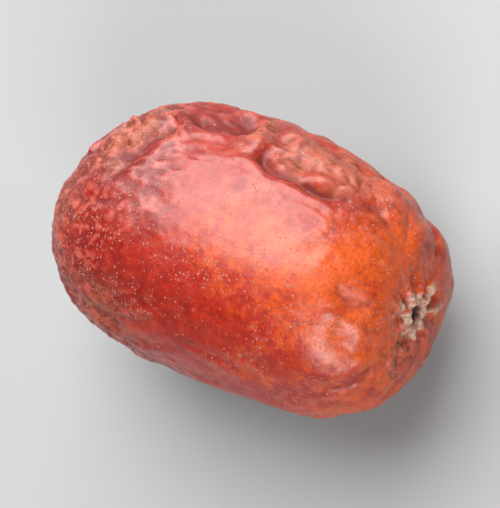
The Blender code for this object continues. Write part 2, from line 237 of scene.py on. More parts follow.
@dataclass(frozen=True)
class MeridianNet:
    """The skin's mesh: meridians that meet at the stem scar, and rings, closer at the ends.

    The meridians are also closer together on the folded side.
    """

    meridians: int = 480
    rings: int = 200
    stem_crowding: float = 3.2
    blossom_crowding: float = 1.1
    crowding_span: float = 0.10
    folded_side: float = 62.0
    side_crowding: float = 0.30
    scar_around: float = 52.0
    scar_lean: float = 7.4
    lean_span: float = 100.0

    def sphere(self) -> bpy.types.Mesh:
        """Makes the unit sphere that the skin is drawn from, its poles on X.

        Returns:
            The sphere's mesh, its faces in a fixed order.
        """
        made = bmesh.new()
        bmesh.ops.create_uvsphere(
            made,
            u_segments=self.meridians,
            v_segments=self.rings,
            radius=1.0,
            matrix=Matrix.Rotation(math.pi / 2, 4, "Y"),
        )
        bmesh.ops.recalc_face_normals(made, faces=made.faces)
        made.verts.index_update()
        made.faces.sort(key=face_rank)
        mesh = bpy.data.meshes.new("fruit_skin")
        made.to_mesh(mesh)
        made.free()
        return mesh

    def crowded(self, shares: np.ndarray) -> np.ndarray:
        """Draws evenly spaced shares of the way from the stem together at both ends.

        Args:
            shares: evenly spaced shares.

        Returns:
            The shares after drawing together.
        """
        even = np.linspace(0.0, 1.0, 2001)
        crowding = 1.0 + self.stem_crowding * np.exp(-even / self.crowding_span)
        crowding += self.blossom_crowding * np.exp(-(1.0 - even) / self.crowding_span)
        filled = np.concatenate([[0.0], np.cumsum(0.5 * (crowding[1:] + crowding[:-1]))])
        return np.interp(shares, filled / filled[-1], even)

    def leaned(self, directions: np.ndarray) -> np.ndarray:
        """Turns unit directions so that the one along +X points at the stem scar.

        Args:
            directions: unit vectors, one row each.

        Returns:
            The turned vectors.
        """
        towards = math.radians(self.scar_around)
        side = np.array([0.0, math.sin(towards), math.cos(towards)])
        polar = np.degrees(np.arccos(np.clip(directions[:, 0], -1.0, 1.0)))
        turn = np.radians(self.scar_lean * (1.0 - smoothstep(0.0, self.lean_span, polar)))
        ahead, aside = directions[:, 0], directions @ side
        turned = directions - np.outer(aside, side)
        turned[:, 0] = ahead * np.cos(turn) - aside * np.sin(turn)
        return turned + np.outer(aside * np.cos(turn) + ahead * np.sin(turn), side)

    def on_body(self, unit: np.ndarray, body: PlumpBody) -> np.ndarray:
        """Lays the sphere's points on the plump body.

        Args:
            unit: points of the unit sphere, one row each.
            body: the body.

        Returns:
            The points on the body.
        """
        polar = self.crowded(np.arccos(np.clip(unit[:, 0], -1.0, 1.0)) / math.pi) * math.pi
        around = np.arctan2(unit[:, 1], unit[:, 2])
        around = around - self.side_crowding * np.sin(around - math.radians(self.folded_side))
        across = np.sin(polar)
        directions = self.leaned(
            np.stack([np.cos(polar), across * np.sin(around), across * np.cos(around)], axis=-1)
        )
        shares = np.arccos(np.clip(directions[:, 0], -1.0, 1.0)) / math.pi
        around = np.degrees(np.arctan2(directions[:, 1], directions[:, 2]))
        return body.point(body.along_at(shares), around)


class Loosened(NamedTuple):
    """Points of the skin as the dents and creases see them.

    They are shifted along the skin by smooth noise, so that what lies there wanders.
    """

    points: np.ndarray
    normals: np.ndarray
    uneven: np.ndarray


@dataclass(frozen=True)
class Wander:
    """How the dents and creases wander over the skin, and how uneven their depth is."""

    size: float = 2.8 * MM
    reach: float = 0.60 * MM
    fine_size: float = 1.0 * MM
    fine_reach: float = 0.10 * MM
    finest_size: float = 0.36 * MM
    finest_reach: float = 0.07 * MM
    uneven_size: float = 1.8 * MM
    uneven: float = 0.7

    def loosened(self, points: np.ndarray, normals: np.ndarray) -> Loosened:
        """Shifts points along the skin.

        Args:
            points: points of the plump body.
            normals: its normals there.

        Returns:
            The shifted points, with how strongly a crease shows at each.
        """
        shift = np.zeros_like(points)
        for size, reach in (
            (self.size, self.reach),
            (self.fine_size, self.fine_reach),
            (self.finest_size, self.finest_reach),
        ):
            shift += reach * noise_steps(points, size)
        shift -= np.sum(shift * normals, axis=1)[:, None] * normals
        share = noise_at(points, self.uneven_size, 1.0, (2.6, 8.1, 4.7))
        return Loosened(points + shift, normals, np.clip(1.0 + self.uneven * share, 0.3, 1.7))


@dataclass(frozen=True)
class Dent:
    """An oval hollow pressed into the skin, with a low rim, in mm and degrees.

    A negative depth is a bump. The rim's place and width are shares of the way from the
    dent's middle to its edge, and the steepness is the power by which its walls fall.
    """

    along: float
    around: float
    reach: float
    breadth: float
    turn: float
    depth: float
    rim: float
    steepness: float = 2.3
    rim_place: float = 1.5
    rim_width: float = 0.42

    def height(self, body: PlumpBody, skin: Loosened) -> np.ndarray:
        """Gives what the dent adds to the skin's height.

        Args:
            body: the plump body.
            skin: the points of the skin, with what the dents and creases need of them.

        Returns:
            The height at each point, in metres.
        """
        centre = body.point(self.along * MM, self.around)
        facing = body.normal(centre)
        lengthwise = np.array([1.0, 0.0, 0.0]) - facing[0] * facing
        lengthwise = lengthwise / np.linalg.norm(lengthwise)
        crosswise = np.cross(facing, lengthwise)
        turn = math.radians(self.turn)
        first = math.cos(turn) * lengthwise + math.sin(turn) * crosswise
        second = math.cos(turn) * crosswise - math.sin(turn) * lengthwise
        offset = (skin.points - centre) / MM
        reach = np.hypot(offset @ first / self.reach, offset @ second / self.breadth)
        same_side = smoothstep(0.0, 0.4, skin.normals @ facing)
        bowl = np.exp(-(reach**self.steepness))
        rim = np.exp(-(((reach - self.rim_place) / self.rim_width) ** 2)) * skin.uneven
        return same_side * (self.rim * rim - self.depth * bowl) * MM


@dataclass(frozen=True)
class Crease:
    """A furrow along a smooth line of (mm, degree) places. A negative depth is a ridge.

    Its lips lie a number of widths beside its line and it ends altogether at its span,
    also in widths. It fades out over a share of the line at each end.
    """

    route: tuple[tuple[float, float], ...]
    width: float
    depth: float
    sharpness: float = 1.0
    sharp_share: float = 0.4
    lip_place: float = 2.1
    lip_height: float = 0.28
    span: float = 4.5
    fading: float = 0.18
    steps: int = 6

    def line(self, body: PlumpBody) -> np.ndarray:
        """Draws the crease's line as a Catmull-Rom curve.

        Args:
            body: the plump body that it lies on.

        Returns:
            Points of the line, one row each.
        """
        places = np.array([(along * MM, around) for along, around in self.route], float)
        padded = np.vstack([2 * places[0] - places[1], places, 2 * places[-1] - places[-2]])
        curve = []
        for start in range(len(places) - 1):
            p0, p1, p2, p3 = padded[start : start + 4]
            last = start == len(places) - 2
            for t in np.linspace(0.0, 1.0, self.steps + 1)[: self.steps + last]:
                bend = (2 * p0 - 5 * p1 + 4 * p2 - p3) * t**2
                swing = (3 * p1 - p0 - 3 * p2 + p3) * t**3
                curve.append(0.5 * (2 * p1 + (p2 - p0) * t + bend + swing))
        curve = np.array(curve)
        return body.point(curve[:, 0], curve[:, 1])

    def height(self, body: PlumpBody, skin: Loosened) -> np.ndarray:
        """Gives what the crease adds to the skin's height.

        Args:
            body: the plump body.
            skin: the points of the skin, with what the dents and creases need of them.

        Returns:
            The height at each point, in metres.
        """
        route, margin = self.line(body), self.span * self.width * MM
        low, high = route.min(axis=0) - margin, route.max(axis=0) + margin
        near = np.all((skin.points > low) & (skin.points < high), axis=1)
        points = skin.points[near]
        nearest = np.full(len(points), np.inf)
        progress = np.zeros(len(points))
        stretches = len(route) - 1
        for index in range(stretches):
            start, stretch = route[index], route[index + 1] - route[index]
            share = np.clip((points - start) @ stretch / (stretch @ stretch), 0.0, 1.0)
            distance = np.linalg.norm(points - start - share[:, None] * stretch, axis=1)
            closer = distance < nearest
            nearest = np.where(closer, distance, nearest)
            progress = np.where(closer, (index + share) / stretches, progress)
        fade = smoothstep(0.0, self.fading, progress)
        fade = fade * smoothstep(0.0, self.fading, 1.0 - progress)
        aside = nearest / (self.width * MM)
        furrow = np.exp(-(aside**2))
        if self.sharpness > 1.0:
            sharp = np.exp(-self.sharpness * aside)
            furrow = (1.0 - self.sharp_share) * furrow + self.sharp_share * sharp
        profile = self.lip_height * np.exp(-((aside - self.lip_place) ** 2)) - furrow
        height = np.zeros(len(skin.points))
        height[near] = fade * skin.uneven[near] * self.depth * profile * MM
        return height


class Ray(NamedTuple):
    """A line that runs out from the middle of an end: its angle there and its length in mm."""

    around: float
    reach: float


def ray_share(
    distance: np.ndarray, angle: np.ndarray, ray: Ray, start: float, width: float
) -> np.ndarray:
    """Says how near each point is to a ray.

    Args:
        distance: the points' distances from the middle of the end.
        angle: their angles round it, in radians.
        ray: the ray.
        start: where the ray begins.
        width: its half width.

    Returns:
        1 on the ray's line, falling to 0 beside it and beyond its two ends.
    """
    gap = (angle - math.radians(ray.around) + math.pi) % (2.0 * math.pi) - math.pi
    reach = ray.reach * MM
    aside = distance * np.abs(gap)
    width = width * (0.8 + 0.5 * distance / reach)
    span = smoothstep(0.6 * start, start, distance)
    span = span * (1.0 - smoothstep(0.45 * reach, 1.15 * reach, distance))
    return span * (np.exp(-((aside / width) ** 2)) - 0.4 * np.exp(-((aside / width - 2.0) ** 2)))


@dataclass(frozen=True)
class StemScar:
    """The star at the stem end: a funnel with a pit, a collar and pale corky rays."""

    along: float = 11.81 * MM
    around: float = 52.0
    funnel_radius: float = 2.6 * MM
    funnel_depth: float = 0.55 * MM
    pit_radius: float = 0.40 * MM
    pit_depth: float = 1.05 * MM
    collar_radius: float = 0.86 * MM
    collar_width: float = 0.34 * MM
    collar_height: float = 0.26 * MM
    ray_start: float = 0.62 * MM
    ray_width: float = 0.29 * MM
    ray_height: float = 0.34 * MM
    crumb_size: float = 0.34 * MM
    crumb_height: float = 0.12 * MM
    crumbs_thin_out: float = 1.8 * MM
    crumbs_end: float = 3.0 * MM
    fraying_size: float = 0.7 * MM
    fraying_reach: float = 0.42 * MM
    patch_size: float = 0.42 * MM
    fleck_reach: float = 3.0 * MM
    rays: tuple[Ray, ...] = (
        Ray(2, 2.4),
        Ray(39, 2.3),
        Ray(78, 2.5),
        Ray(120, 2.5),
        Ray(160, 3.0),
        Ray(201, 2.5),
        Ray(243, 2.0),
        Ray(287, 1.7),
        Ray(325, 1.9),
    )

    def rayed(self, distance: np.ndarray, angle: np.ndarray) -> np.ndarray:
        """Adds up the rays.

        Args:
            distance: the points' distances from the pit.
            angle: their angles round it.

        Returns:
            About 1 on a ray, 0 or a little less elsewhere.
        """
        return sum(
            ray_share(distance, angle, ray, self.ray_start, self.ray_width) for ray in self.rays
        )

    def height(self, body: PlumpBody, points: np.ndarray) -> np.ndarray:
        """Gives what the scar adds to the skin's height.

        Args:
            body: the plump body.
            points: points of the body.

        Returns:
            The height at each point, in metres.
        """
        distance, angle = body.polar_at(points, self.along, self.around)
        height = -self.funnel_depth * np.exp(-((distance / self.funnel_radius) ** 2))
        inner, outer = 0.35 * self.pit_radius, 1.25 * self.pit_radius
        height -= self.pit_depth * (1.0 - smoothstep(inner, outer, distance))
        collar = np.exp(-(((distance - self.collar_radius) / self.collar_width) ** 2))
        height += self.collar_height * collar
        height += self.ray_height * self.rayed(distance, angle)
        near = 1.0 - smoothstep(self.crumbs_thin_out, self.crumbs_end, distance)
        crumbs = noise_at(points, self.crumb_size, 1.0, (4.4, 1.9, 7.1))
        height += self.crumb_height * near * crumbs
        return np.where(points[:, 0] > 0.0, height, 0.0)

    def marks(self, body: PlumpBody, points: np.ndarray) -> tuple[np.ndarray, np.ndarray]:
        """Says where the scar is pale cork and where it is the dark pit.

        Args:
            body: the plump body.
            points: points of the body.

        Returns:
            The share of cork and the share of pit at each point.
        """
        straight, _ = body.polar_at(points, self.along, self.around)
        frayed = points + self.fraying_reach * noise_steps(points, self.fraying_size)
        distance, angle = body.polar_at(frayed, self.along, self.around)
        patchy = noise_at(points, self.patch_size, 1.0, (2.2, 6.1, 3.3))
        rayed = self.rayed(distance, angle)
        rays = smoothstep(0.02, 0.62, rayed * (1.0 + 1.2 * patchy))
        collar = np.exp(-(((distance - self.collar_radius) / (1.6 * self.collar_width)) ** 2))
        collar = smoothstep(0.16, 0.70, collar + 0.4 * patchy)
        fading = 1.0 - smoothstep(0.45 * self.fleck_reach, self.fleck_reach, distance)
        flecks = 0.8 * fading * smoothstep(0.16, 0.36, patchy)
        cracks = smoothstep(0.04, 0.24, -rayed)
        cork = np.clip(np.maximum(np.maximum(rays, collar), flecks) - 0.8 * cracks, 0.0, 1.0)
        cork *= 0.45 + 0.55 * smoothstep(-0.30, 0.10, patchy)
        pit = 1.0 - smoothstep(0.95 * self.pit_radius, 1.55 * self.pit_radius, straight)
        stem_half = points[:, 0] > 0.0
        return np.where(stem_half, cork * (1.0 - pit), 0.0), np.where(stem_half, pit, 0.0)


@dataclass(frozen=True)
class BlossomEnd:
    """The other end: a dimple with the dry stub of the style and uneven pleats."""

    dimple_radius: float = 1.7 * MM
    dimple_depth: float = 0.40 * MM
    stub_radius: float = 0.42 * MM
    stub_height: float = 0.50 * MM
    pleat_start: float = 0.45 * MM
    pleat_width: float = 0.34 * MM
    pleat_depth: float = 0.20 * MM
    pleats: tuple[Ray, ...] = (
        Ray(20, 2.6),
        Ray(74, 1.6),
        Ray(118, 3.1),
        Ray(171, 1.9),
        Ray(222, 2.8),
        Ray(268, 1.5),
        Ray(317, 2.2),
    )

    def height(self, body: PlumpBody, points: np.ndarray) -> np.ndarray:
        """Gives what the blossom end adds to the skin's height.

        Args:
            body: the plump body.
            points: points of the body.

        Returns:
            The height at each point, in metres.
        """
        distance, angle = body.polar_at(points, -body.length / 2, 0.0)
        height = -self.dimple_depth * np.exp(-((distance / self.dimple_radius) ** 2))
        height += self.stub_height * np.exp(-((distance / self.stub_radius) ** 2))
        for pleat in self.pleats:
            share = ray_share(distance, angle, pleat, self.pleat_start, self.pleat_width)
            height -= self.pleat_depth * share
        return np.where(points[:, 0] < 0.0, height, 0.0)

    def stub(self, body: PlumpBody, points: np.ndarray) -> np.ndarray:
        """Says where the dry, dark stub is.

        Args:
            body: the plump body.
            points: points of the body.

        Returns:
            1 on the stub, 0 away from it.
        """
        distance, _ = body.polar_at(points, -body.length / 2, 0.0)
        near = 1.0 - smoothstep(0.6 * self.stub_radius, 1.6 * self.stub_radius, distance)
        return np.where(points[:, 0] < 0.0, near, 0.0)


@dataclass(frozen=True)
class Shrivelling:
    """The lumps and wrinkles of the whole skin, and the broad top that stays taut."""

    lump_size: float = 6.5 * MM
    lump_height: float = 0.16 * MM
    wrinkle_size: float = 1.9 * MM
    wrinkle_stretch: float = 2.6
    wrinkle_height: float = 0.44 * MM
    wrinkle_mean: float = 0.26
    wrinkle_patch: float = 6.0 * MM
    taut_wrinkles: float = 0.12
    taut_along: float = 1.6 * MM
    taut_around: float = -16.0
    taut_reach: float = 8.6 * MM
    taut_breadth: float = 6.2 * MM
    crinkle_size: float = 0.62 * MM
    crinkle_height: float = 0.070 * MM
    crinkle_mean: float = 0.25
    crinkle_sway_size: float = 1.6 * MM
    crinkle_patch: float = 3.4 * MM
    crinkles_calmed: float = 0.80
    rumpling: float = 2.6
    pebble_size: float = 0.43 * MM
    pebble_height: float = 0.105 * MM
    pebble_sway: float = 0.22 * MM
    pebble_sway_size: float = 0.9 * MM
    pebbles_begin: float = -5.0 * MM
    pebbles_full: float = 6.0 * MM
    pebbles_calmed: float = 0.55
    rumpled_pebbles: float = 0.5
    sleek_along: float = 8.4 * MM
    sleek_around: float = -32.0
    sleek_reach: float = 3.0 * MM

    def taut(self, body: PlumpBody, points: np.ndarray, normals: np.ndarray) -> np.ndarray:
        """Says where the skin is taut.

        Args:
            body: the plump body.
            points: points of the body.
            normals: its normals there.

        Returns:
            1 in the middle of the taut top, 0 away from it.
        """
        centre = body.point(self.taut_along, self.taut_around)
        facing = body.normal(centre)
        offset = points - centre
        aside = offset @ np.cross(facing, [1.0, 0.0, 0.0])
        reach = np.hypot(offset[:, 0] / self.taut_reach, aside / self.taut_breadth)
        return np.exp(-(reach**4)) * smoothstep(0.1, 0.5, normals @ facing)

    def sleek(self, body: PlumpBody, points: np.ndarray) -> np.ndarray:
        """Says where the near shoulder is smooth: 1 in its middle, 0 away from it."""
        offset = points - body.point(self.sleek_along, self.sleek_around)
        return np.exp(-((np.linalg.norm(offset, axis=1) / self.sleek_reach) ** 4))

    def lumps(self, points: np.ndarray) -> np.ndarray:
        """Height of the broad lumps at each point."""
        return self.lump_height * noise_at(points, self.lump_size, 1.2, (3.1, 7.7, 1.3))

    def wrinkles(self, points: np.ndarray, taut: np.ndarray) -> np.ndarray:
        """Gives the height of the lengthwise wrinkles.

        Args:
            points: points of the plump body.
            taut: how taut the skin is there.

        Returns:
            The height at each point, in metres.
        """
        sway = noise_at(points, 3.0 * self.wrinkle_size, 1.0, (9.2, 0.4, 5.5))
        swayed = points + np.outer(sway, [0.0, self.wrinkle_size, self.wrinkle_size])
        folds = noise_at(swayed, self.wrinkle_size, self.wrinkle_stretch, (1.7, 4.2, 8.8))
        furrowed = noise_at(points, self.wrinkle_patch, 1.0, (5.2, 3.9, 0.6))
        furrowed = np.clip(0.35 + 2.6 * furrowed, -1.0, 1.0)
        share = furrowed * (1.0 - (1.0 - self.taut_wrinkles) * taut)
        return self.wrinkle_height * share * (np.abs(folds) - self.wrinkle_mean)

    def pebbled(self, points: np.ndarray) -> np.ndarray:
        """The noise of the pebbles at each point, about -0.6 to 0.6."""
        sway = self.pebble_sway * noise_steps(points, self.pebble_sway_size)
        return noise_at(points + sway, self.pebble_size, 1.0, (5.8, 9.4, 1.1))

    def crinkles(
        self, points: np.ndarray, taut: np.ndarray, rumpled: np.ndarray, pebbled: np.ndarray
    ) -> np.ndarray:
        """Gives the height of the finest crinkles and pebbles.

        Args:
            points: points of the plump body.
            taut: how taut the skin is there.
            rumpled: how rumpled it is there, in its hollows and under its bloom.
            pebbled: the noise of the pebbles there.

        Returns:
            The height at each point, in metres.
        """
        sway = noise_at(points, self.crinkle_sway_size, 1.0, (6.6, 2.8, 0.9))
        swayed = points + np.outer(sway, [0.3, 0.6, 0.6]) * MM
        folds = np.abs(noise_at(swayed, self.crinkle_size, 1.7, (0.6, 5.3, 2.1)))
        patchy = noise_at(points, self.crinkle_patch, 1.3, (8.1, 3.6, 4.9))
        patches = smoothstep(-0.25, 0.45, patchy)
        share = (1.0 - self.crinkles_calmed * taut) * (0.35 + 0.65 * patches)
        share = share + self.rumpling * rumpled
        towards_blossom = smoothstep(self.pebbles_begin, self.pebbles_full, -points[:, 0])
        pebbly = (0.25 + 0.85 * towards_blossom) * (0.55 + 0.45 * patches)
        pebbly = pebbly * (1.0 - self.pebbles_calmed * taut) + self.rumpled_pebbles * rumpled
        crinkled = self.crinkle_height * share * (folds - self.crinkle_mean)
        return crinkled + self.pebble_height * pebbly * pebbled


DENTS = (
    # The side that has caved in behind the folded shoulder
    Dent(2.6, 117, 5.6, 2.6, -4, 1.05, 0.20),
    # The furrow before the fold
    Dent(-2.6, 62, 2.6, 1.30, 4, 0.66, 0.12),
    # The flattened shoulder at the blossom end
    Dent(-10.2, 48, 3.4, 3.2, 0, 0.50, 0.0),
    Dent(-7.4, 110, 2.6, 2.0, 30, 0.26, 0.08),
    # The near side: a long shallow trough, a small crater and thumbprint hollows
    Dent(-0.4, -104, 5.2, 1.8, 6, 0.60, 0.16),
    Dent(-4.6, -56, 1.1, 0.65, -14, 0.22, 0.04),
    Dent(-7.6, -52, 0.9, 0.7, 10, 0.14, 0.03),
    Dent(7.6, -116, 2.4, 1.8, 35, 0.62, 0.16),
    # The valley between the swell on the near shoulder and the stem end
    Dent(9.8, -12, 1.0, 2.0, 12, 0.16, 0.0),
    Dent(8.9, -40, 2.4, 1.9, 0, -0.24, 0.0),
    # The full shoulder beyond the fold
    Dent(9.0, 86, 2.2, 2.4, 0, -0.22, 0.0),
    Dent(10.2, 122, 2.0, 2.2, 0, -0.46, 0.0),
    # The flank below the caved side
    Dent(-4.5, 142, 3.4, 1.6, -14, 0.62, 0.16),
    Dent(6.8, 150, 2.4, 1.3, 20, 0.40, 0.12),
    # Small pits of the fold
    Dent(1.8, 57, 0.55, 0.50, 20, 0.30, 0.05),
    Dent(3.6, 47, 0.80, 0.42, -6, 0.22, 0.04),
    Dent(5.0, 63, 0.60, 0.42, 15, 0.20, 0.04),
    Dent(6.2, 70, 0.60, 0.45, -20, 0.20, 0.04),
    Dent(3.3, 76, 0.70, 0.50, 20, 0.18, 0.04),
    # Lumps of the fold
    Dent(2.7, 57, 0.50, 0.48, 0, -0.22, 0.0),
    Dent(4.2, 56, 0.62, 0.44, -15, -0.22, 0.0),
    Dent(4.6, 74, 1.10, 0.50, 8, -0.24, 0.0),
    Dent(7.7, 72, 0.90, 0.62, 12, -0.24, 0.0),
    Dent(5.3, 48, 0.62, 0.44, 5, -0.20, 0.0),
    Dent(6.9, 52, 0.70, 0.44, 12, -0.20, 0.0),
    # Two faint dimples in the taut top
    Dent(-2.6, 4, 0.60, 0.50, 0, 0.08, 0.0),
    Dent(6.8, 14, 0.55, 0.50, 0, 0.08, 0.0),
)

CREASES = (
    # The folded shoulder: a furrow, the fold beside it, and the pleat that crosses them
    Crease(
        ((0.6, 50), (1.4, 43), (2.6, 39), (4.0, 41), (5.8, 42), (7.5, 49), (8.8, 59)),
        0.36,
        0.38,
        sharpness=2.4,
    ),
    Crease(((0.8, 62), (2.9, 60), (5.8, 60), (8.0, 67), (9.4, 78)), 0.90, -0.32),
    Crease(((-0.6, 76), (0.0, 62), (0.9, 42)), 0.54, -0.44),
    # The lower edge of the furrow before the fold, and the curl at its end
    Crease(((-5.0, 58), (-3.4, 55), (-1.8, 55), (-0.8, 60), (-1.0, 72)), 0.36, 0.34),
    # Rumpled ridges on the blossom shoulder and the hollow beside them
    Crease(((-4.8, 62), (-5.9, 52), (-6.7, 40), (-7.0, 28), (-7.4, 14)), 0.46, -0.36),
    Crease(((-6.2, 66), (-7.5, 53), (-8.2, 40), (-8.6, 24)), 0.46, -0.34),
    Crease(((-7.8, 68), (-9.0, 54), (-9.6, 38), (-9.9, 24)), 0.46, -0.26),
    Crease(((-5.7, 43), (-7.2, 47), (-8.8, 47)), 0.42, -0.22),
    Crease(((-6.2, 27), (-7.8, 32), (-9.2, 30)), 0.42, -0.20),
    Crease(((-4.4, 50), (-5.2, 35), (-5.7, 21), (-6.5, 10)), 0.42, 0.26),
    # Folds along the floor of the caved side and of the near trough
    Crease(((-1.4, 104), (1.8, 109), (5.2, 106), (8.4, 112)), 0.46, 0.32),
    Crease(((0.2, 124), (3.6, 121), (7.0, 127)), 0.50, 0.30),
    Crease(((-5.0, -100), (-1.5, -106), (2.4, -101), (5.0, -95)), 0.46, 0.32),
    Crease(((-3.4, -115), (0.4, -119), (3.6, -113)), 0.46, 0.26),
    # Long folds and ridges on the flanks
    Crease(((-8.4, 86), (-5.4, 93), (-2.0, 90)), 0.46, 0.24),
    Crease(((-8.2, 122), (-5.0, 128), (-0.6, 136), (3.8, 140), (8.0, 133)), 0.52, 0.32),
    Crease(((-7.0, -128), (-3.2, -135), (1.6, -132), (6.0, -138)), 0.50, 0.30),
    Crease(((-9.4, -66), (-7.4, -82), (-5.0, -86)), 0.42, 0.22),
    Crease(((4.6, -108), (6.4, -100), (9.0, -98)), 0.38, -0.24),
    # Folds that draw in towards the stem end
    Crease(((8.4, 2), (9.6, 0), (10.8, 0)), 0.46, 0.12),
    Crease(((8.6, -60), (10.0, -54), (11.2, -46)), 0.46, 0.18),
    Crease(((8.2, 100), (9.8, 96), (11.0, 92)), 0.42, 0.22),
    Crease(((8.4, 124), (10.1, 130), (11.2, 140)), 0.42, 0.22),
    Crease(((8.4, -150), (10.1, -156), (11.2, -164)), 0.42, 0.22),
)


class Patch(NamedTuple):
    """An oval stretch of skin with a pale bloom, in mm and degrees, and how strong it is."""

    along: float
    around: float
    reach: float
    breadth: float
    strength: float


PATCHES = (
    # The rumpled shoulder, the flap of the fold and the pleat that crosses it
    Patch(-7.0, 39, 2.0, 2.5, 0.9),
    Patch(4.4, 58, 4.2, 1.9, 0.74),
    Patch(0.1, 60, 0.7, 2.0, 0.7),
    # The small crater, the caved side, the near trough and the blossom end
    Patch(-5.4, -52, 3.6, 2.6, 0.42),
    Patch(-9.6, -8, 2.2, 3.6, 0.34),
    Patch(2.6, 117, 4.6, 1.6, 0.6),
    Patch(0.4, -106, 4.4, 1.2, 0.5),
    Patch(-11.2, -30, 2.2, 3.0, 0.4),
    # The skin below the stem scar
    Patch(11.7, -55, 0.9, 1.3, 0.7),
)


class NodeTree:
    """A material's node tree, with short calls for the nodes that the finishes share."""

    def __init__(self, name: str) -> None:
        """Makes a new material with a Principled shader.

        Args:
            name: the material's name.
        """
        self.material = bpy.data.materials.new(name)
        self.material.use_nodes = True
        self.nodes = self.material.node_tree.nodes
        self.links = self.material.node_tree.links
        self.shader = self.nodes["Principled BSDF"]
        self.object_place = self.nodes.new("ShaderNodeTexCoord").outputs["Object"]

    def link(self, source: Source, target: Socket) -> None:
        """Joins an output, or sets a plain value, to an input.

        Args:
            source: an output socket, a number or a colour.
            target: the input socket.
        """
        if isinstance(source, Socket):
            self.links.new(source, target)
        else:
            target.default_value = source

    def mark(self, mark: Mark) -> Socket:
        """Reads one of the skin's marks.

        Args:
            mark: which mark.

        Returns:
            The output that holds its share, 0 to 1.
        """
        node = self.nodes.new("ShaderNodeAttribute")
        node.attribute_name = mark.value
        return node.outputs["Fac"]

    def noise(self, size: float, detail: float, rough: float, warp: float = 0.0) -> Socket:
        """Adds noise on the object's own coordinates.

        Args:
            size: how large its features are, in metres.
            detail: how many finer octaves it has.
            rough: how strong those are.
            warp: how far it is distorted.

        Returns:
            The noise's output, about 0.5 on average.
        """
        node = self.nodes.new("ShaderNodeTexNoise")
        node.inputs["Scale"].default_value = 1.0 / size
        node.inputs["Detail"].default_value = detail
        node.inputs["Roughness"].default_value = rough
        node.inputs["Distortion"].default_value = warp
        self.links.new(self.object_place, node.inputs["Vector"])
        return node.outputs["Fac"]

    def cells(self, size: float) -> Socket:
        """Adds the distance to scattered middles on the object's own coordinates.

        Args:
            size: how far apart the middles are, in metres.

        Returns:
            The distance's output, 0 on a middle.
        """
        node = self.nodes.new("ShaderNodeTexVoronoi")
        node.inputs["Scale"].default_value = 1.0 / size
        self.links.new(self.object_place, node.inputs["Vector"])
        return node.outputs["Distance"]

    def ramp(self, value: Socket, low: float, high: float, start: float, end: float) -> Socket:
        """Maps a value smoothly from one range to another.

        Args:
            value: the socket to map.
            low: where the ramp begins.
            high: where it stops.
            start: the result at and below low.
            end: the result at and above high.

        Returns:
            The result's output.
        """
        node = self.nodes.new("ShaderNodeMapRange")
        node.interpolation_type = "SMOOTHSTEP"
        self.link(value, node.inputs["Value"])
        for name, number in (
            ("From Min", low),
            ("From Max", high),
            ("To Min", start),
            ("To Max", end),
        ):
            node.inputs[name].default_value = number
        return node.outputs["Result"]

    def math(self, operation: str, first: Source, second: Source = 0.0) -> Socket:
        """Combines two values.

        Args:
            operation: the Math node's operation.
            first: a socket or a number.
            second: a socket or a number.

        Returns:
            The result's output, held between 0 and 1.
        """
        node = self.nodes.new("ShaderNodeMath")
        node.operation = operation
        node.use_clamp = True
        self.link(first, node.inputs[0])
        self.link(second, node.inputs[1])
        return node.outputs[0]

    def mix(self, share: Source, first: Source, second: Source) -> Socket:
        """Mixes two colours.

        Args:
            share: how much of the second colour, a socket or a number.
            first: a socket or a colour.
            second: a socket or a colour.

        Returns:
            The mixed colour's output.
        """
        node = self.nodes.new("ShaderNodeMix")
        node.data_type = "RGBA"
        self.link(share, node.inputs[0])
        self.link(first, node.inputs[6])
        self.link(second, node.inputs[7])
        return node.outputs[2]

    def bump(
        self, height: Socket, distance: float, strength: float, under: Optional[Socket] = None
    ) -> Socket:
        """Adds relief that is finer than the mesh.

        Args:
            height: the relief's height, 0 to 1.
            distance: how high 1 is, in metres.
            strength: how much of it shows.
            under: the normal below it, if there is one.

        Returns:
            The normal's output.
        """
        node = self.nodes.new("ShaderNodeBump")
        node.inputs["Distance"].default_value = distance
        node.inputs["Strength"].default_value = strength
        self.link(height, node.inputs["Height"])
        if under is not None:
            self.link(under, node.inputs["Normal"])
        return node.outputs["Normal"]

    def set(self, **values: float) -> None:
        """Sets plain values on the shader's own sockets, named with _ for a space."""
        for name, value in values.items():
            self.shader.inputs[name.replace("_", " ")].default_value = value


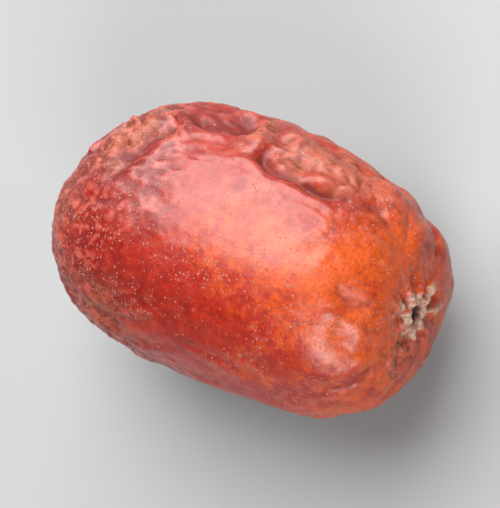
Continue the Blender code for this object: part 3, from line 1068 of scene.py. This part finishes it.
@dataclass(frozen=True)
class DriedSkin:
    """The thin glossy skin: crimson to orange, with pale scurf, painted shade in its hollows and
    between its pebbles, and a painted highlight on its crests and pebble tops.
    """

    crimson: Colour = (0.142, 0.0046, 0.0028, 1.0)
    red: Colour = (0.228, 0.0112, 0.0040, 1.0)
    orange: Colour = (0.375, 0.0490, 0.0032, 1.0)
    # The dark fold colour is painted shade in the hollows and between the pebbles; it is also the
    # colour of the dark flecks in the bloom.
    shade_and_fleck: Colour = (0.092, 0.0036, 0.0020, 1.0)
    # The pale crest colour is a painted highlight on the crests.
    crest_highlight: Colour = (0.330, 0.070, 0.032, 1.0)
    bloom: Colour = (0.245, 0.078, 0.036, 1.0)
    # The spot colour is partly pale scurf and partly a painted highlight on the pebbles' tops.
    spot: Colour = (0.320, 0.058, 0.040, 1.0)
    scurf: Colour = (0.310, 0.150, 0.115, 1.0)
    cork: Colour = (0.370, 0.240, 0.180, 1.0)
    cork_shade: Colour = (0.170, 0.060, 0.034, 1.0)
    pit: Colour = (0.022, 0.009, 0.008, 1.0)
    roughness: float = 0.37
    roughness_spread: float = 0.14
    ripening_size: float = 5.2 * MM
    mottle_size: float = 0.9 * MM
    grain_size: float = 0.22 * MM
    streak_size: float = 0.42 * MM
    fleck_size: float = 0.50 * MM
    spot_breakup_size: float = 0.30 * MM
    speck_spacing: float = 0.26 * MM
    speck_patch: float = 0.8 * MM
    smear_size: float = 1.4 * MM
    fibre_size: float = 0.17 * MM
    fibre_relief: float = 0.020 * MM
    leather_size: float = 0.42 * MM
    leather_relief: float = 0.05 * MM
    pore_spacing: float = 0.24 * MM
    pore_relief: float = 0.014 * MM

    def colour(self, tree: NodeTree) -> Socket:
        """Builds the skin's colour.

        Args:
            tree: the material's nodes.

        Returns:
            The colour's output.
        """
        broad = tree.noise(self.ripening_size, 3.0, 0.55, 0.4)
        mottle = tree.noise(self.mottle_size, 4.0, 0.62, 0.3)
        grain = tree.noise(self.grain_size, 3.0, 0.60)
        ripe = tree.math("ADD", tree.mark(Mark.ORANGE), tree.ramp(broad, 0.3, 0.7, -0.14, 0.14))
        ripe = tree.math("ADD", ripe, tree.ramp(mottle, 0.3, 0.7, -0.17, 0.17))
        colour = tree.mix(tree.ramp(ripe, 0.0, 0.45, 0.0, 1.0), self.crimson, self.red)
        colour = tree.mix(tree.ramp(ripe, 0.45, 0.95, 0.0, 1.0), colour, self.orange)
        shade = tree.ramp(grain, 0.30, 0.70, 0.78, 1.16)
        shaded = tree.nodes.new("ShaderNodeHueSaturation")
        tree.link(shade, shaded.inputs["Value"])
        tree.link(colour, shaded.inputs["Color"])
        # Crests lightened: a painted highlight.
        crest_highlight = tree.ramp(tree.mark(Mark.CREST_HIGHLIGHT), 0.15, 1.0, 0.0, 0.36)
        colour = tree.mix(crest_highlight, shaded.outputs[0], self.crest_highlight)
        # Hollows darkened: painted shade.
        hollow = tree.ramp(tree.mark(Mark.HOLLOW), 0.10, 0.95, 0.0, 0.74)
        return tree.mix(hollow, colour, self.shade_and_fleck)

    def dusted_with_painted_light(self, tree: NodeTree, colour: Socket) -> tuple[Socket, Socket]:
        """Lays the pale bloom, the fine scurf, and painted highlight and shade on the pebbles over
        the colour.

        Args:
            tree: the material's nodes.
            colour: the colour below it.

        Returns:
            The colour's output with all this laid over it, and the share of what is pale and dull.
        """
        streaks = tree.noise(self.streak_size, 4.0, 0.65, 0.8)
        streaks = tree.ramp(streaks, 0.42, 0.60, 0.20, 1.00)
        bloom = tree.math("MULTIPLY", streaks, tree.mark(Mark.BLOOM))
        colour = tree.mix(bloom, colour, self.bloom)
        flecks = tree.noise(self.fleck_size, 3.0, 0.6, 0.6)
        flecks = tree.ramp(flecks, 0.34, 0.46, 0.75, 0.0)
        flecks = tree.math("MULTIPLY", flecks, tree.mark(Mark.BLOOM))
        colour = tree.mix(flecks, colour, self.shade_and_fleck)
        # Pebble tops lightened where the scurf is: partly pale scurf, partly a painted highlight.
        scurf_and_highlight_spots = tree.ramp(tree.mark(Mark.PEBBLE), 0.46, 0.84, 0.0, 0.84)
        spot_breakup = tree.ramp(tree.noise(self.spot_breakup_size, 3.0, 0.6, 0.4), 0.34, 0.56, 0.25, 1.0)
        scurf_and_highlight_spots = tree.math("MULTIPLY", tree.math("MULTIPLY", scurf_and_highlight_spots, spot_breakup), tree.mark(Mark.SCURF))
        colour = tree.mix(scurf_and_highlight_spots, colour, self.spot)
        # Gaps between the pebbles darkened: painted shade.
        gap_shade = tree.ramp(tree.mark(Mark.PEBBLE), 0.18, 0.50, 0.55, 0.0)
        gap_shade = tree.math("MULTIPLY", gap_shade, tree.mark(Mark.SCURF))
        colour = tree.mix(gap_shade, colour, self.shade_and_fleck)
        specks = tree.ramp(tree.cells(self.speck_spacing), 0.12, 0.30, 0.85, 0.0)
        sparse = tree.ramp(tree.noise(self.speck_patch, 3.0, 0.6), 0.42, 0.60, 0.0, 1.0)
        share = tree.math("MULTIPLY", tree.math("MULTIPLY", specks, sparse), tree.mark(Mark.SCURF))
        pale = tree.math("MAXIMUM", share, tree.mark(Mark.BLOOM))
        return tree.mix(share, colour, self.scurf), pale

    def material(self) -> bpy.types.Material:
        """Makes the material of the fruit's skin.

        Returns:
            The material.
        """
        tree = NodeTree("dried_oleaster_skin")
        colour, scurf = self.dusted_with_painted_light(tree, self.colour(tree))
        fibres = tree.noise(self.fibre_size, 4.0, 0.7, 0.6)
        cork = tree.mix(tree.ramp(fibres, 0.30, 0.56, 0.0, 1.0), self.cork_shade, self.cork)
        corky = tree.mark(Mark.CORK)
        colour = tree.mix(corky, colour, cork)
        colour = tree.mix(tree.mark(Mark.PIT), colour, self.pit)
        tree.link(colour, tree.shader.inputs["Base Color"])

        smears = tree.noise(self.smear_size, 4.0, 0.6, 0.5)
        low = self.roughness - self.roughness_spread / 2
        rough = tree.ramp(smears, 0.3, 0.7, low, low + self.roughness_spread)
        for dull, share in (
            (scurf, 0.36),
            (corky, 0.45),
            (tree.mark(Mark.PIT), 0.4),
            (tree.mark(Mark.HOLLOW), 0.46),
        ):
            rough = tree.math("ADD", rough, tree.math("MULTIPLY", dull, share))
        tree.link(rough, tree.shader.inputs["Roughness"])

        leather = tree.noise(self.leather_size, 3.0, 0.55)
        leathery = tree.bump(leather, self.leather_relief, 0.50)
        pores = tree.ramp(tree.cells(self.pore_spacing), 0.0, 0.30, 0.0, 1.0)
        pored = tree.bump(pores, self.pore_relief, 0.6, leathery)
        grained = tree.bump(fibres, self.fibre_relief, 0.5, pored)
        tree.link(grained, tree.shader.inputs["Normal"])

        tree.set(
            Metallic=0.0,
            IOR=1.40,
            Subsurface_Weight=0.10,
            Subsurface_Scale=0.7 * MM,
            Coat_Weight=0.20,
            Coat_Roughness=0.24,
            Coat_IOR=1.5,
        )
        tree.shader.inputs["Subsurface Radius"].default_value = (1.0, 0.28, 0.12)
        return tree.material


@dataclass(frozen=True)
class SilveryScale:
    """The dry, silvery pink of the tiny scales."""

    pale: Colour = (0.250, 0.068, 0.048, 1.0)
    rusty: Colour = (0.220, 0.034, 0.019, 1.0)
    bright: Colour = (0.310, 0.140, 0.108, 1.0)
    patch_size: float = 0.9 * MM
    grain_size: float = 0.11 * MM
    relief: float = 0.006 * MM

    def material(self) -> bpy.types.Material:
        """Makes the material of the scales.

        Returns:
            The material.
        """
        tree = NodeTree("silvery_scale")
        patches = tree.noise(self.patch_size, 3.0, 0.6)
        fine = tree.noise(self.grain_size, 2.0, 0.6)
        colour = tree.mix(tree.ramp(patches, 0.38, 0.62, 0.0, 1.0), self.pale, self.rusty)
        colour = tree.mix(tree.ramp(fine, 0.48, 0.66, 0.0, 0.8), colour, self.bright)
        tree.link(colour, tree.shader.inputs["Base Color"])
        tree.link(tree.ramp(fine, 0.3, 0.7, 0.34, 0.52), tree.shader.inputs["Roughness"])
        tree.link(tree.bump(fine, self.relief, 0.6), tree.shader.inputs["Normal"])
        tree.set(Metallic=0.0, IOR=1.42, Subsurface_Weight=0.0, Sheen_Weight=0.1)
        return tree.material


@dataclass
class FruitSkin:
    """The whole skin as one closed piece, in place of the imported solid."""

    body: PlumpBody = field(default_factory=PlumpBody)
    net: MeridianNet = field(default_factory=MeridianNet)
    scar: StemScar = field(default_factory=StemScar)
    blossom_end: BlossomEnd = field(default_factory=BlossomEnd)
    shrivelling: Shrivelling = field(default_factory=Shrivelling)
    wander: Wander = field(default_factory=Wander)
    dents: tuple[Dent, ...] = DENTS
    creases: tuple[Crease, ...] = CREASES
    patches: tuple[Patch, ...] = PATCHES
    finish: DriedSkin = field(default_factory=DriedSkin)
    bend: float = 0.70 * MM
    rest_reach: float = 5.0 * MM
    rest_breadth: float = 3.0 * MM
    flat_spot_depth: float = 0.16 * MM
    narrow_breadth: float = 0.8
    hollow_depth: float = 0.34 * MM
    crest_height: float = 0.30 * MM
    crinkle_shading: float = 3.5
    hollow_rumpling: float = 0.55
    orange_mean: float = 0.34
    orange_towards: Triple = (1.05, 0.20, 0.16)
    orange_drift: float = 0.30
    drift_size: float = 6.0 * MM
    cluster_size: float = 2.4 * MM
    bloom_edge_size: float = 1.3 * MM

    def hollowed(self, narrow: np.ndarray) -> np.ndarray:
        """Turns the height of the narrow folds into how hollow the skin is, 0 to 1."""
        return np.clip(-narrow / self.hollow_depth, 0.0, 1.0)

    def folds(
        self, points: np.ndarray, normals: np.ndarray, taut: np.ndarray
    ) -> tuple[np.ndarray, np.ndarray]:
        """Gives the heights of the dents, the creases and the wrinkles.

        Args:
            points: points of the plump body.
            normals: its normals there.
            taut: how taut the skin is there.

        Returns:
            The whole height, and the height of what is narrow enough to change the colour.
        """
        height = self.shrivelling.lumps(points)
        narrow = self.shrivelling.wrinkles(points, taut)
        skin = self.wander.loosened(points, normals)
        for dent in self.dents:
            added = dent.height(self.body, skin)
            share = min(1.0, self.narrow_breadth / dent.breadth)
            height += added
            narrow += added * share
            height -= added * share
        for crease in self.creases:
            narrow += crease.height(self.body, skin)
        return height + narrow, narrow

    def marks(
        self, points: np.ndarray, narrow: np.ndarray, bloom: np.ndarray
    ) -> dict[Mark, np.ndarray]:
        """Works out what the finish reads at each point.

        Args:
            points: points of the plump body.
            narrow: the height of the narrow folds there.
            bloom: how strong the pale bloom is there.

        Returns:
            The share of each mark at each point.
        """
        cork, pit = self.scar.marks(self.body, points)
        stub = self.blossom_end.stub(self.body, points)
        along = points[:, 0] / self.body.length
        drift = noise_at(points, self.drift_size, 1.0, (7.3, 1.8, 9.9))
        side = points[:, 1] / self.body.width
        stemward, foldward, upward = self.orange_towards
        orange = self.orange_mean + stemward * along + foldward * side
        orange += upward * points[:, 2] / self.body.height
        orange += self.orange_drift * drift
        clusters = noise_at(points, self.cluster_size, 1.0, (0.2, 8.4, 6.5))
        hollow = self.hollowed(narrow)
        scurf = 0.42 + 0.9 * clusters + 1.3 * np.abs(along) ** 2 - 0.9 * along + 0.5 * bloom
        scurf -= 0.7 * hollow
        return {
            # The hollow mark carries painted shade into the colour, besides dullness; the crest
            # mark carries a painted highlight.
            Mark.HOLLOW: hollow,
            Mark.CREST_HIGHLIGHT: np.clip(narrow / self.crest_height, 0.0, 1.0),
            Mark.CORK: np.clip(cork, 0.0, 1.0),
            Mark.PIT: np.clip(pit + 0.8 * stub, 0.0, 1.0),
            Mark.ORANGE: np.clip(orange, 0.0, 1.0),
            Mark.SCURF: np.clip(scurf, 0.0, 1.0),
            Mark.BLOOM: np.clip(bloom, 0.0, 1.0),
        }

    def bloomed(self, points: np.ndarray) -> np.ndarray:
        """Gives the strength of the pale bloom, ragged at its edges.

        Args:
            points: points of the plump body.

        Returns:
            The strength at each point.
        """
        ragged = noise_at(points, self.bloom_edge_size, 1.0, (3.7, 0.9, 5.6))
        bloom = np.zeros(len(points))
        for patch in self.patches:
            centre = self.body.point(patch.along * MM, patch.around)
            offset = (points - centre) / MM
            across = np.linalg.norm(offset[:, 1:], axis=1) / patch.breadth
            reach = np.hypot(offset[:, 0] / patch.reach, across)
            share = 1.0 - smoothstep(0.45, 1.25, reach + 0.7 * ragged)
            bloom = np.maximum(bloom, patch.strength * share)
        return bloom

    def set_down(self, moved: np.ndarray, along: np.ndarray) -> np.ndarray:
        """Bends the fruit, presses its resting spot flat and sets it in the solid's box.

        Args:
            moved: the shrivelled points.
            along: the distances along X that they had on the plump body.

        Returns:
            The points in their place.
        """
        moved[:, 1] -= self.bend * (along / (self.body.length / 2)) ** 2
        floor = self.flat_spot_depth - self.body.height / 2
        moved[:, 2] = np.maximum(moved[:, 2], floor)
        low, high = moved.min(axis=0), moved.max(axis=0)
        middle = (np.array(cad_box[0]) + np.array(cad_box[1])) / 2
        shift = middle - (low + high) / 2
        shift[2] = cad_box[0][2] - floor
        return moved + shift

    def build(self) -> bpy.types.Object:
        """Makes the skin.

        Returns:
            The finished piece.
        """
        mesh = self.net.sphere()
        unit = np.empty(3 * len(mesh.vertices))
        mesh.vertices.foreach_get("co", unit)
        points = self.net.on_body(unit.reshape(-1, 3), self.body)
        normals = self.body.normal(points)
        taut = self.shrivelling.taut(self.body, points, normals)
        taut = np.maximum(taut, self.shrivelling.sleek(self.body, points))
        height, narrow = self.folds(points, normals, taut)
        bloom = self.bloomed(points)
        pebbled = self.shrivelling.pebbled(points)
        rumpled = np.maximum(bloom, self.hollow_rumpling * self.hollowed(narrow))
        crinkles = self.shrivelling.crinkles(points, taut, rumpled, pebbled)
        under = np.exp(
            -((points[:, 0] / self.rest_reach) ** 4 + (points[:, 1] / self.rest_breadth) ** 4)
        )
        under = np.where(points[:, 2] < 0.0, under, 0.0)
        height = (height + crinkles) * (1.0 - under)
        height += self.scar.height(self.body, points) + self.blossom_end.height(self.body, points)
        placed = self.set_down(points + normals * height[:, None], points[:, 0])
        mesh.vertices.foreach_set("co", placed.ravel())
        # The crinkles count crinkle_shading times over here, so that the marks paint shade into
        # their pits and a highlight onto their tops.
        marks = self.marks(points, narrow + self.crinkle_shading * crinkles, bloom)
        # The pebble mark follows the pebbles' relief, for the painted highlight on their tops and
        # the painted shade between them.
        loose = 1.0 - self.shrivelling.pebbles_calmed * taut
        marks[Mark.PEBBLE] = np.clip(0.5 + loose * pebbled, 0.0, 1.0)
        for mark, values in marks.items():
            layer = mesh.attributes.new(mark.value, "FLOAT", "POINT")
            layer.data.foreach_set("value", values.astype(np.float32))
        mesh.update()
        mesh.shade_smooth()
        mesh.materials.append(self.finish.material())
        piece = bpy.data.objects.new("fruit_skin", mesh)
        bpy.context.scene.collection.objects.link(piece)
        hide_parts("fruit")
        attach(piece, "root")
        return piece


@dataclass
class ScaleCover:
    """The thousands of tiny silvery scales that sit half sunk in the skin."""

    count: int = 6600
    batch: int = 150
    sides: int = 6
    smallest: float = 0.036 * MM
    largest: float = 0.092 * MM
    thickness: float = 0.016 * MM
    spacing: float = 0.21 * MM
    tilt: float = 14.0
    clear_of_floor: float = 0.25 * MM
    least_cover: float = 0.05
    smallness: float = 2.4
    crown: float = 0.55
    least_lift: float = 0.1
    lift_spread: float = 0.25
    spare: int = 2
    seed: int = 20
    finish: SilveryScale = field(default_factory=SilveryScale)

    def places(self, skin: bpy.types.Object) -> list[tuple[Vector, Vector]]:
        """Scatters the scales over the skin, thicker towards the ends.

        Args:
            skin: the fruit's skin.

        Returns:
            A middle and a normal for each scale.
        """
        mesh = skin.data
        count = len(mesh.polygons)
        area, centre, normal = np.empty(count), np.empty(3 * count), np.empty(3 * count)
        mesh.polygons.foreach_get("area", area)
        mesh.polygons.foreach_get("center", centre)
        mesh.polygons.foreach_get("normal", normal)
        centre, normal = centre.reshape(-1, 3), normal.reshape(-1, 3)
        scurf = np.empty(len(mesh.vertices))
        mesh.attributes[Mark.SCURF.value].data.foreach_get("value", scurf)
        corner = np.empty(count, dtype=np.int64)
        mesh.polygons.foreach_get("loop_start", corner)
        vertex = np.empty(len(mesh.loops), dtype=np.int64)
        mesh.loops.foreach_get("vertex_index", vertex)
        weight = area * (self.least_cover + scurf[vertex[corner]])
        weight = np.where(centre[:, 2] > self.clear_of_floor, weight, 0.0)
        chance = np.random.default_rng(self.seed)
        chosen = chance.choice(count, size=self.spare * self.count, p=weight / weight.sum())
        taken: set[tuple[int, ...]] = set()
        places: list[tuple[Vector, Vector]] = []
        for index in chosen:
            cell = tuple(int(part) for part in np.floor(centre[index] / self.spacing))
            if cell in taken:
                continue
            taken.add(cell)
            places.append((Vector(centre[index]), Vector(normal[index])))
            if len(places) == self.count:
                break
        return places

    def add_scale(
        self, made: bmesh.types.BMesh, middle: Vector, normal: Vector, chance: np.random.Generator
    ) -> None:
        """Adds one scale, turned and sized by chance.

        Args:
            made: the mesh that it is added to.
            middle: where it sits.
            normal: which way the skin faces there.
            chance: the source of chance.
        """
        share = chance.random() ** self.smallness
        radius = self.smallest + (self.largest - self.smallest) * share
        tilt, heading, spin = chance.normal(0.0, self.tilt), *chance.random(2) * 2 * math.pi
        axis = Vector((math.cos(heading), math.sin(heading), 0.0))
        turned = normal.to_track_quat("Z", "Y").to_matrix().to_4x4()
        turned = turned @ Matrix.Rotation(math.radians(tilt), 4, axis)
        turned = turned @ Matrix.Rotation(spin, 4, "Z")
        raised = self.thickness * (self.least_lift + self.lift_spread * chance.random())
        lift = Matrix.Translation((0.0, 0.0, raised))
        bmesh.ops.create_cone(
            made,
            cap_ends=True,
            cap_tris=False,
            segments=self.sides,
            radius1=radius,
            radius2=radius * self.crown,
            depth=self.thickness,
            matrix=Matrix.Translation(middle) @ turned @ lift,
        )

    def build(self, skin: bpy.types.Object) -> bpy.types.Object:
        """Makes the scales as one piece.

        Args:
            skin: the fruit's skin, which carries them.

        Returns:
            The finished piece.
        """
        chance = np.random.default_rng(self.seed + 1)
        places = self.places(skin)
        whole = bmesh.new()
        for start in range(0, len(places), self.batch):
            made = bmesh.new()
            for middle, normal in places[start : start + self.batch]:
                self.add_scale(made, middle, normal, chance)
            some = bpy.data.meshes.new("some_scales")
            made.to_mesh(some)
            made.free()
            whole.from_mesh(some)
            bpy.data.meshes.remove(some)
        mesh = bpy.data.meshes.new("silvery_scales")
        whole.to_mesh(mesh)
        whole.free()
        mesh.materials.append(self.finish.material())
        piece = bpy.data.objects.new("silvery_scales", mesh)
        bpy.context.scene.collection.objects.link(piece)
        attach(piece, "root")
        return piece


class Lamp(NamedTuple):
    """A soft light: which way it lies from the fruit, how far, how wide, high and strong."""

    name: str
    direction: Triple
    distance: float
    width: float
    height: float
    power: float


@dataclass
class Studio:
    """The pale floor, the soft lights and the camera."""

    floor_half: float = 1.5
    floor_colour: Colour = (0.235, 0.235, 0.235, 1.0)
    sky_colour: Colour = (1.0, 1.0, 1.0, 1.0)
    sky_strength: float = 0.16
    tilt: float = 28.0
    roll: float = 21.4
    lens: float = 200.0
    frame_width: float = 28.6 * MM
    frame_shape: float = 508 / 500
    aim: Triple = (0.0, 0.0, 7.4 * MM)
    lamps: tuple[Lamp, ...] = (
        Lamp("overhead_softbox", (-0.29, 0.53, 0.80), 0.26, 0.29, 0.37, 2.90),
        Lamp("front_softbox", (0.58, -0.63, 0.52), 0.24, 0.13, 0.14, 0.72),
    )

    def floor(self) -> bpy.types.Object:
        """Makes the plain pale floor.

        Returns:
            The floor.
        """
        made = bmesh.new()
        bmesh.ops.create_grid(made, x_segments=1, y_segments=1, size=self.floor_half)
        mesh = bpy.data.meshes.new("floor")
        made.to_mesh(mesh)
        made.free()
        tree = NodeTree("pale_floor")
        tree.shader.inputs["Base Color"].default_value = self.floor_colour
        tree.set(Roughness=0.7, Specular_IOR_Level=0.2)
        mesh.materials.append(tree.material)
        piece = bpy.data.objects.new("floor", mesh)
        bpy.context.scene.collection.objects.link(piece)
        return piece

    def light(self, lamp: Lamp) -> bpy.types.Object:
        """Makes one soft light that faces the fruit.

        Args:
            lamp: what the light is like.

        Returns:
            The light.
        """
        data = bpy.data.lights.new(lamp.name, "AREA")
        data.shape = "RECTANGLE"
        data.size, data.size_y = lamp.width, lamp.height
        data.energy = lamp.power
        light = bpy.data.objects.new(lamp.name, data)
        towards = Vector(lamp.direction).normalized()
        light.location = Vector(self.aim) + towards * lamp.distance
        light.rotation_euler = towards.to_track_quat("Z", "Y").to_euler()
        bpy.context.scene.collection.objects.link(light)
        return light

    def sky(self) -> None:
        """Fills the surroundings with even white light."""
        world = bpy.data.worlds.new("studio")
        world.use_nodes = True
        background = world.node_tree.nodes["Background"]
        background.inputs["Color"].default_value = self.sky_colour
        background.inputs["Strength"].default_value = self.sky_strength
        bpy.context.scene.world = world

    def camera(self) -> bpy.types.Object:
        """Makes the camera: above the fruit, leaning to its stem end, its long axis aslant.

        Returns:
            The camera.
        """
        tilt, roll = math.radians(self.tilt), math.radians(self.roll)
        back = Vector((math.sin(tilt), 0.0, math.cos(tilt)))
        axis = Vector((math.cos(tilt), 0.0, -math.sin(tilt)))
        across = Vector((0.0, 1.0, 0.0))
        right = axis * math.cos(roll) + across * math.sin(roll)
        up = across * math.cos(roll) - axis * math.sin(roll)
        data = bpy.data.cameras.new("camera")
        data.lens = self.lens
        distance = self.frame_width * self.frame_shape * self.lens / data.sensor_width
        data.clip_start, data.clip_end = 0.01, 10.0
        camera = bpy.data.objects.new("camera", data)
        turned = Matrix((right, up, back)).transposed().to_4x4()
        camera.matrix_world = Matrix.Translation(Vector(self.aim) + back * distance) @ turned
        bpy.context.scene.collection.objects.link(camera)
        bpy.context.scene.camera = camera
        return camera

    def build(self) -> None:
        """Sets up the whole studio."""
        self.floor()
        self.sky()
        for lamp in self.lamps:
            self.light(lamp)
        self.camera()
        bpy.context.scene.view_settings.view_transform = "Standard"
        bpy.context.scene.view_settings.look = "None"


def report(piece: bpy.types.Object) -> None:
    """Logs a finished piece's name and size.

    Args:
        piece: the piece.
    """
    triangles = sum(len(polygon.vertices) - 2 for polygon in piece.data.polygons)
    sides = ", ".join(f"{side / MM:.2f}" for side in piece.dimensions)
    log.info("%s: %d triangles, %s mm", piece.name, triangles, sides)


def main() -> None:
    """Builds the fruit, its scales and the studio in order."""
    logging.basicConfig(level=logging.INFO, format="%(name)s: %(message)s")
    skin = FruitSkin().build()
    report(skin)
    report(ScaleCover().build(skin))
    Studio().build()


if __name__ == "__main__":
    main()
